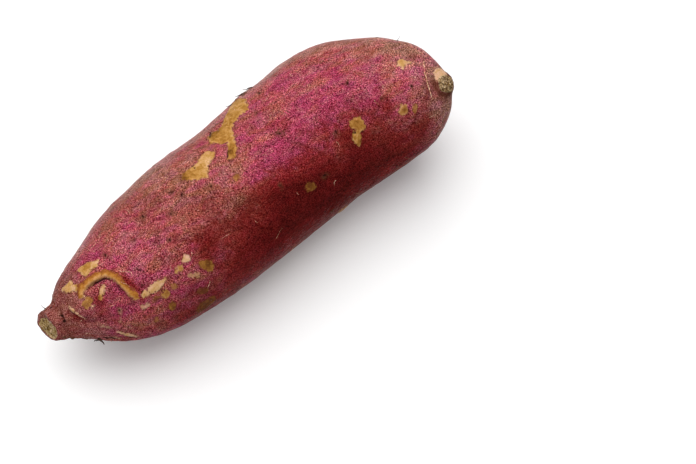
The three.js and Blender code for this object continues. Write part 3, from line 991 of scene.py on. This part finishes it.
def make_grain_group():
    """Fine grain for any dry plant skin, as strong to the eye on dark colours as on pale ones."""
    group = bpy.data.node_groups.new("plant_grain", "ShaderNodeTree")
    face = group.interface
    face.new_socket("Place", in_out="INPUT", socket_type="NodeSocketVector")
    face.new_socket("Colour", in_out="INPUT", socket_type="NodeSocketColor")
    face.new_socket("Grains per metre", in_out="INPUT", socket_type="NodeSocketFloat")
    face.new_socket("Strength", in_out="INPUT", socket_type="NodeSocketFloat")
    face.new_socket("Colour", in_out="OUTPUT", socket_type="NodeSocketColor")
    face.new_socket("Grain", in_out="OUTPUT", socket_type="NodeSocketFloat")
    start = group.nodes.new("NodeGroupInput").outputs
    end = group.nodes.new("NodeGroupOutput").inputs
    inputs = {"Vector": start["Place"], "Scale": start["Grains per metre"], "Detail": 0.0}
    fine = ease(group, add(group, "TexNoise", inputs).outputs["Fac"], 0.34, 0.66)
    seen = add(group, "Gamma", {"Color": start["Colour"], "Gamma": 1 / 2.2}).outputs[0]
    red = add(group, "SeparateColor", {0: seen}).outputs[0]
    reach = times(group, spread(group, red, 1.3, 0.85), start["Strength"])  # weaker on dark skin
    change = times(group, maths(group, "SUBTRACT", fine, GRAIN_MIDDLE), reach)
    changed = add(group, "VectorMath", {0: seen, 1: change}, operation="ADD").outputs[0]
    kept = add(group, "VectorMath", {0: changed, 1: (0.01, 0.01, 0.01)}, operation="MAXIMUM").outputs[0]
    group.links.new(add(group, "Gamma", {"Color": kept, "Gamma": 2.2}).outputs[0], end["Colour"])
    group.links.new(fine, end["Grain"])
    return group


PLANT_GRAIN = make_grain_group()


def grained(tree, place, tint, size_mm, strength=0.4):
    made = add(tree, "Group", node_tree=PLANT_GRAIN)
    if isinstance(strength, bpy.types.NodeSocket):
        tree.links.new(strength, made.inputs["Strength"])
    else:
        made.inputs["Strength"].default_value = strength
    tree.links.new(place, made.inputs["Place"])
    tree.links.new(tint, made.inputs["Colour"])
    made.inputs["Grains per metre"].default_value = 1 / (size_mm * MM)
    return made.outputs["Colour"], made.outputs["Grain"]


print("grain group:", [item.name for item in PLANT_GRAIN.interface.items_tree])


# %% Colours of bare skin
def drawn_out(tree, place, times_longer):
    """The same place, for a pattern that should run lengthwise."""
    return add(tree, "VectorMath", {0: place, 1: (1 / times_longer, 1, 1)}, operation="MULTIPLY").outputs[0]


def skin_wash(tree, place):
    tint, shade_and_dust = field(tree, "tint"), field(tree, "shade_and_dust")
    flow = drawn_out(tree, place, 2.2)
    wash = plus(tree, spread(tree, grain(tree, flow, 5, 3, 0.55, 0.5), 4.8), tint)
    base = ramp(tree, ease(tree, wash, -1.4, 1.4), [
        (0.0, colour(134, 60, 28)), (0.28, colour(156, 44, 30)), (0.52, colour(158, 26, 37)),
        (0.78, colour(157, 12, 48)), (1.0, colour(150, 4, 50)),
    ])
    brown = spread(tree, tint, -0.10, -0.05)
    film = ease(tree, plus(tree, grain(tree, place, 3.6, 4, 0.6), brown), 0.48, 0.66)
    base = blend(tree, times(tree, film, 0.45), base, colour(122, 52, 18))
    violet = ease(tree, grain(tree, flow, 4.2, 3, 0.50, 0.8), 0.48, 0.66)
    base = blend(tree, times(tree, violet, 0.34), base, colour(152, 22, 82))
    mottle = ease(tree, grain(tree, flow, 2.8, 3, 0.55, 0.8), 0.46, 0.68)
    base = blend(tree, times(tree, mottle, 0.36), base, colour(92, 16, 22))
    base = blend(tree, times(tree, field(tree, "neck"), 0.55), base, colour(126, 65, 61))
    # dust, which along the upper contour and the ridge is also a painted highlight
    dust_and_highlight = ease(tree, plus(tree, shade_and_dust, spread(tree, grain(tree, flow, 4.0, 4, 0.6, 0.5), 4.5)), 0.25, 1.5)
    base = blend(tree, times(tree, dust_and_highlight, 0.34), base, colour(206, 122, 116))
    base = blend(tree, times(tree, field(tree, "bloom_and_rim_highlight"), 0.42), base, colour(184, 140, 132))
    fibre = ease(tree, grain(tree, drawn_out(tree, place, 4.0), 1.5, 3, 0.6, 0.3), 0.46, 0.66)
    fibre = times(tree, fibre, field(tree, "neck"))
    return blend(tree, times(tree, fibre, 0.28), base, colour(190, 122, 112))


def skin_specks(tree, place, base):
    """Pale flecks, a net of dry threads that shows most where the skin is brown, and painted shade low on the
    front side.
    """
    speck = ease(tree, grain(tree, place, 0.5, 1, 0.5, 0.4), 0.66, 0.74)
    base = blend(tree, times(tree, speck, 0.25), base, colour(214, 150, 150))
    brown = spread(tree, field(tree, "tint"), -0.10)
    thick = ease(tree, plus(tree, grain(tree, place, 6, 3, 0.6), brown), 0.44, 0.64)
    for size, width in ((1.9, 0.026), (1.2, 0.022)):
        net = times(tree, threads(tree, place, size, width), thick)
        base = blend(tree, times(tree, net, 0.32), base, colour(194, 132, 98))
    net = times(tree, threads(tree, place, 1.5, 0.030), thick)
    base = blend(tree, times(tree, net, 0.40), base, colour(84, 34, 28))
    # painted shade: where the marks are below 0 the skin is multiplied towards a dark red, and below -1 it is
    # darkened once more
    patches = spread(tree, grain(tree, place, 4, 4, 0.6, 0.5), 2.2)
    painted_shade = ease(tree, plus(tree, field(tree, "shade_and_dust"), patches), 0.1, -1.1)
    base = blend(tree, painted_shade, base, (0.60, 0.04, 0.02, 1.0), "MULTIPLY")
    return blend(tree, ease(tree, field(tree, "shade_and_dust"), -1.0, -2.0), base, (0.60, 0.12, 0.10, 1.0), "MULTIPLY")


# %% Skin material
def make_skin_material():
    made, tree, shader = new_material("root_skin")
    place = add(tree, "TexCoord").outputs["Object"]
    base = skin_specks(tree, place, skin_wash(tree, place))
    base, fine = grained(tree, place, base, 0.22, field(tree, "grain"))

    edge = spread(tree, grain(tree, place, 1.1, 5, 0.75), 4.0)
    spot = times(tree, field(tree, "spot"), ease(tree, grain(tree, place, 0.9, 3, 0.6), 0.30, 0.60))
    base = blend(tree, times(tree, spot, 0.72), base, colour(100, 62, 42))

    bare = plus(tree, field(tree, "chip_mm"), edge)
    cork_age = plus(tree, spread(tree, grain(tree, place, 2.0, 5, 0.72, 0.5), 1.6), field(tree, "chip_age"))
    cork_age = plus(tree, cork_age, ease(tree, bare, 0.0, -1.6, -0.08, 0.06))
    cork = ramp(tree, cork_age, [
        (0.0, colour(226, 180, 148)), (0.20, colour(214, 168, 118)), (0.40, colour(200, 150, 84)),
        (0.58, colour(178, 126, 58)), (0.78, colour(148, 98, 40)), (1.0, colour(104, 64, 28)),
    ])
    hole = ease(tree, grain(tree, place, 1.3, 4, 0.7), 0.60, 0.72)
    cork = blend(tree, times(tree, hole, 0.32), cork, colour(112, 66, 26))
    rim = times(tree, ease(tree, bare, 0.9, 0.1), ease(tree, grain(tree, place, 1.1, 3, 0.6), 0.35, 0.6))
    base = blend(tree, times(tree, rim, 0.60), base, colour(96, 44, 30))
    laid = times(tree, ease(tree, bare, 0.30, -0.25), field(tree, "chip_cover"))
    base = blend(tree, laid, base, cork)

    raised = plus(tree, field(tree, "welt_mm"), edge)
    streak = spread(tree, grain(tree, place, 1.8, 5, 0.7), 6.0)
    cord = ramp(tree, ease(tree, plus(tree, field(tree, "welt_side_mm"), streak), -1.9, 2.1), [
        (0.0, colour(212, 160, 106)), (0.22, colour(198, 142, 80)), (0.50, colour(184, 124, 52)),
        (0.74, colour(158, 94, 40)), (1.0, colour(126, 60, 40)),
    ])
    base = blend(tree, ease(tree, raised, 0.35, -0.35), base, cord)
    # painted shade: the groove under the welt's inner side is painted nearly black
    base = blend(tree, times(tree, field(tree, "groove"), 0.85), base, colour(66, 18, 14))

    band = ease(tree, grain(tree, drawn_out(tree, place, 0.5), 1.6, 4, 0.7, 0.5), 0.30, 0.62)
    wood = ramp(tree, times(tree, ease(tree, field(tree, "wood"), 0.0, 0.45, 0.35, 1.0), band), [
        (0.0, colour(80, 50, 24)), (0.30, colour(136, 106, 58)), (0.60, colour(182, 154, 102)),
        (0.85, colour(200, 172, 128)), (1.0, colour(210, 176, 144)),
    ])
    pit = ease(tree, grain(tree, place, 1.4, 3, 0.6), 0.52, 0.66)
    wood = blend(tree, times(tree, pit, 0.5), wood, colour(104, 76, 22))
    base = blend(tree, ease(tree, field(tree, "tail_face"), 0.35, 0.65), base, wood)
    # painted shade in the crease, round the knob's foot and along the split
    base = blend(tree, times(tree, field(tree, "crease"), 0.55), base, colour(84, 42, 22))

    # painted shade: the slits of eyes and cracks are painted nearly black; then the crumbs get their own dark
    # brown
    slit_shade_and_crumb = ease(tree, plus(tree, field(tree, "slit_mm"), times(tree, edge, 0.3)), 0.40, 0.0, 0.0, 0.92)
    base = blend(tree, slit_shade_and_crumb, base, colour(36, 16, 12))
    slit_shade_and_crumb = ease(tree, plus(tree, field(tree, "crust_mm"), edge), 0.35, -0.1, 0.0, 0.8)
    base = blend(tree, slit_shade_and_crumb, base, colour(88, 62, 40))

    tree.links.new(base, shader.inputs["Base Color"])
    gloss = ease(tree, fine, 0.0, 1.0, 0.50, 0.70)
    tree.links.new(gloss, shader.inputs["Roughness"])
    shader.inputs["Specular IOR Level"].default_value = 0.02
    shader.inputs["Sheen Weight"].default_value = 0.72
    shader.inputs["Sheen Roughness"].default_value = 0.17
    shader.inputs["Sheen Tint"].default_value = (1.0, 0.86, 0.82, 1.0)
    pores = plus(tree, grain(tree, place, 0.7, 3, 0.6), grain(tree, place, 1.4, 2, 0.5))
    bump = add(tree, "Bump", {"Height": pores, "Distance": 0.25 * MM, "Strength": 1.0})
    tree.links.new(bump.outputs["Normal"], shader.inputs["Normal"])
    return made


root_skin = bpy.data.objects.new("root_skin", skin_mesh)
scene.collection.objects.link(root_skin)
skin_mesh.materials.append(make_skin_material())
skin_mesh.shade_smooth()
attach(root_skin, "root")
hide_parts("sweet_potato")
print("skin:", len(skin_mesh.polygons), "faces")

# %% [markdown]
# ## The stub of the vine
#
# The root hung from the vine by a short neck. Where that broke off, a round stub of tangled,
# corky fibre is left, with gaps between its lumps. It is a ball, flattened along the
# stub's axis, and worked with cells: each cell is a lump, and the gaps between them are pits.
# The pits, a ring on its end and a hollow on one side are pressed in and painted dark: painted shade.

# %% Model the stub
SKIN = BVHTree.FromObject(root_skin, bpy.context.evaluated_depsgraph_get())
KNOB_AXIS = Vector((0.44, -0.53, 0.72))
KNOB_MIDDLE = Vector(on_surface(SKIN, 186.4, 43)[0])
KNOB_ACROSS = 3.6  # radius across its axis, in mm
KNOB_ALONG = 2.0
LUMP = 1.7
# the hollow is pressed in, and painted dark as painted shade
HOLLOW_WAY = Vector((0.15, 0.20, 0.97))  # the middle of a dark hollow in its broken end


def put(name, mesh, material):
    """Adds a finished piece that rides on the root."""
    mesh.materials.append(material)
    mesh.shade_smooth()
    made = bpy.data.objects.new(name, mesh)
    scene.collection.objects.link(made)
    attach(made, "root")
    print(f"{name}: {len(mesh.polygons)} faces")
    return made


def model_stub():
    """A flattened ball with lumps on it, and how deep each of its points lies between them."""
    ball = bmesh.new()
    bmesh.ops.create_uvsphere(ball, u_segments=112, v_segments=72, radius=1)
    bmesh.ops.recalc_face_normals(ball, faces=ball.faces)
    turn = KNOB_AXIS.to_track_quat("Z", "Y")
    hollow = turn.inverted() @ HOLLOW_WAY
    pits = []
    for knot in ball.verts:
        out = knot.co.normalized()
        cell = out * KNOB_ACROSS / LUMP
        near, _ = noise.voronoi(cell + 0.5 * noise.noise_vector(cell * 1.1))
        gap = 1 - float(eased(near[1] - near[0], 0.0, 0.35))
        ring = math.hypot(out.x, out.y)
        gap = max(gap, 0.8 * float(bell(ring - 0.62 - 0.12 * noise.noise(out * 3), 0.07)) * float(out.z > 0))
        gap = max(gap, float(bell((out - hollow).length + 0.12 * noise.noise(out * 6), 0.38)))
        grit = noise.fractal(cell * 2.6, 1.0, 2.0, 3)
        grown = 1.05 - 0.16 * gap + 0.07 * grit + 0.10 * noise.noise(out * 1.7)
        pits.append(gap)
        knot.co = turn @ Vector((out.x * KNOB_ACROSS, out.y * KNOB_ACROSS, out.z * KNOB_ALONG)) * grown
        knot.co = (knot.co + KNOB_MIDDLE) * MM
    mesh = bpy.data.meshes.new("vine_stub")
    ball.to_mesh(mesh)
    ball.free()
    mesh.attributes.new("pit", "FLOAT", "POINT").data.foreach_set("value", pits)
    return mesh


def make_cork_material():
    made, tree, shader = new_material("stub_cork")
    place = add(tree, "TexCoord").outputs["Object"]
    base = ramp(tree, grain(tree, place, 1.6, 4, 0.65), [
        (0.30, colour(134, 100, 62)), (0.45, colour(176, 144, 98)), (0.60, colour(204, 174, 132)),
        (0.75, colour(218, 194, 160)),
    ])
    # painted shade in the pits, the ring and the hollow
    base = blend(tree, times(tree, ease(tree, field(tree, "pit"), 0.25, 1.0), 0.85), base, colour(76, 44, 16))
    base, fine = grained(tree, place, base, 0.35)
    tree.links.new(base, shader.inputs["Base Color"])
    tree.links.new(ease(tree, fine, 0.0, 1.0, 0.7, 0.9), shader.inputs["Roughness"])
    shader.inputs["Specular IOR Level"].default_value = 0.15
    bump = add(tree, "Bump", {"Height": grain(tree, place, 0.7, 4, 0.7), "Distance": 0.3 * MM})
    tree.links.new(bump.outputs["Normal"], shader.inputs["Normal"])
    return made


put("vine_stub", model_stub(), make_cork_material())

# %% [markdown]
# ## Dry roots and hairs
#
# A few dried side roots still lie on the skin or stick out from it. Each is a curve through named
# places on the skin, with a round section that thins towards its tip. The curves are then made one
# mesh. Finer hairs are scattered by a seeded hand, more of them towards the two ends.


# %% Strands that lie on the skin
def trail(places, thick, lift=0.0, tip_lift=0.0, steps=5):
    """A strand of (point, radius) in mm through places on the skin, thinner towards its tip."""
    count = (len(places) - 1) * steps + 1
    shares = np.linspace(0, len(places) - 1, count)
    stops = np.arange(len(places))
    along, around = (np.interp(shares, stops, [place[n] for place in places]) for n in (0, 1))
    strand = []
    for n in range(count):
        share = n / (count - 1)
        point, facing = on_surface(SKIN, along[n], around[n])
        wave = 0.12 * math.sin(n * 1.7 + along[0])
        point = point + np.array(facing) * (lift + tip_lift * share**2 + 0.5 * thick + max(wave, 0))
        strand.append((point, thick * (1 - 0.65 * share)))
    return strand


def strands_mesh(name, strands, sides=2):
    curve = bpy.data.curves.new(name, "CURVE")
    curve.dimensions = "3D"
    curve.bevel_depth = MM
    curve.bevel_resolution = sides
    curve.use_fill_caps = True
    for strand in strands:
        line = curve.splines.new("POLY")
        line.points.add(len(strand) - 1)
        for knot, (point, radius) in zip(line.points, strand):
            knot.co = (*(point * MM), 1)
            knot.radius = radius
    shaped = bpy.data.objects.new(name, curve)
    scene.collection.objects.link(shaped)
    mesh = bpy.data.meshes.new_from_object(shaped.evaluated_get(bpy.context.evaluated_depsgraph_get()))
    mesh.materials.clear()
    bpy.data.objects.remove(shaped)
    return mesh


def make_dry_material(name, pale, dark):
    made, tree, shader = new_material(name)
    place = add(tree, "TexCoord").outputs["Object"]
    base = blend(tree, ease(tree, grain(tree, place, 1.2, 3, 0.6), 0.35, 0.65), dark, pale)
    base, _ = grained(tree, place, base, 0.4)
    tree.links.new(base, shader.inputs["Base Color"])
    shader.inputs["Roughness"].default_value = 0.8
    shader.inputs["Specular IOR Level"].default_value = 0.2
    return made


DRY_TAN = make_dry_material("dry_root", colour(232, 190, 156), colour(184, 124, 92))
DRY_BROWN = make_dry_material("dead_root", colour(88, 58, 40), colour(44, 28, 20))

crown_roots = [
    trail([(180.6, 23), (180, 28), (179, 34), (178.2, 41), (177.4, 49)], 0.36, tip_lift=0.2),
    trail([(183.6, 10), (182.6, 14), (181.6, 19)], 0.24),
]
put("crown_root", strands_mesh("crown_root", crown_roots), DRY_TAN)

dead_roots = [
    trail([(15.8, 97), (16.2, 102), (17.0, 105), (17.8, 106)], 0.50, tip_lift=1.3),
    trail([(16.6, 101), (15.4, 103), (14.6, 104)], 0.42, tip_lift=0.9),
    trail([(1.6, -130), (1.2, -121), (1.0, -113)], 0.24, tip_lift=1.8),
    trail([(1.6, -130), (1.3, -139), (1.1, -147)], 0.22, tip_lift=1.5),
    trail([(4.4, -68), (4.4, -80), (4.2, -88)], 0.20, tip_lift=2.2),
    trail([(181, -30), (182, -34), (183, -37)], 0.16, tip_lift=2.0),
    trail([(121.5, -55), (120, -58), (118.5, -60)], 0.28, tip_lift=0.9),
    trail([(117, -56), (115.4, -59), (114.6, -61)], 0.24, tip_lift=0.8),
    trail([(111, -57), (109.6, -59), (108.8, -61)], 0.20, tip_lift=0.7),
]
put("dead_roots", strands_mesh("dead_roots", dead_roots), DRY_BROWN)

# %% Scatter fine hairs
HAIRS = 110
BARE_END = 11.0  # mm at the tail that no hair reaches
chance = np.random.default_rng(11)


def scattered_hair():
    ends = chance.random() < 0.55
    if ends:
        along = chance.choice([chance.uniform(6, 40), chance.uniform(150, 183)])
    else:
        along = chance.uniform(30, 160)
    around = chance.uniform(-180, 180)
    heading, length = chance.uniform(0, 2 * math.pi), chance.uniform(1.5, 5.0)
    places = [(along, around)]
    radius = max(np.linalg.norm(on_surface(SKIN, along, around)[0] - core_at(along)), 5)
    for _ in range(3):
        heading += chance.normal(0, 0.5)
        along = float(np.clip(along + math.cos(heading) * length / 3, 3, LENGTH - 5))
        around += math.degrees(math.sin(heading) * length / 3 / radius)
        places.append((along, around))
    return trail(places, chance.uniform(0.07, 0.13), tip_lift=chance.uniform(0, 0.5), steps=3)


hairs = [scattered_hair() for _ in range(HAIRS)]
hairs = [hair for hair in hairs if min(point[0] for point, _ in hair) > CAD_LOW.x / MM + BARE_END]
put("fine_hairs", strands_mesh("fine_hairs", hairs, 1), DRY_TAN)
